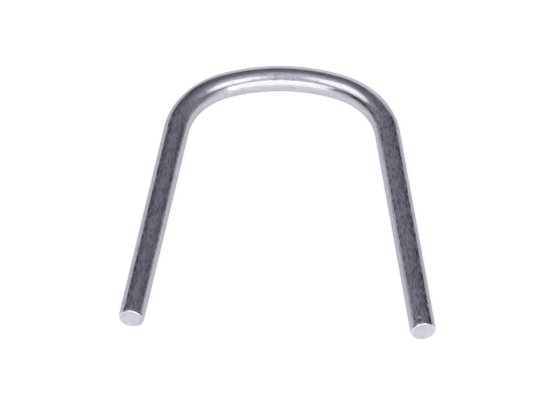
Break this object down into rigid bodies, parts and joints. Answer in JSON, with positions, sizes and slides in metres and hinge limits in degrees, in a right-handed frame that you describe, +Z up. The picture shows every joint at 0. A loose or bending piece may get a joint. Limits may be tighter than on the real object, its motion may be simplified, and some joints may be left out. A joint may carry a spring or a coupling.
{
  "type": "u-shaped cable needle",
  "caption": "Plain round metal rod bent into a wide splayed U with flat sawn ends; as a cable needle it parks stitches on its bend.",
  "frame": {"origin": "under the middle of the needle's outer box, on the surface that the needle lies on", "axes": "+Y from the open end of the U to the crown of its bend, +X from the left leg to the right leg, +Z up, square to the plane of the U"},
  "size_m": [0.0494, 0.0526, 0.004],
  "materials": {
    "bright_rod": "bright drawn rod: a soft mirror with fine drawing lines along it and small dark specks, sawn faces matt and pale"
  },
  "bodies": {
    "root": {"bent_rod": "bright_rod"}
  },
  "joints": []
}
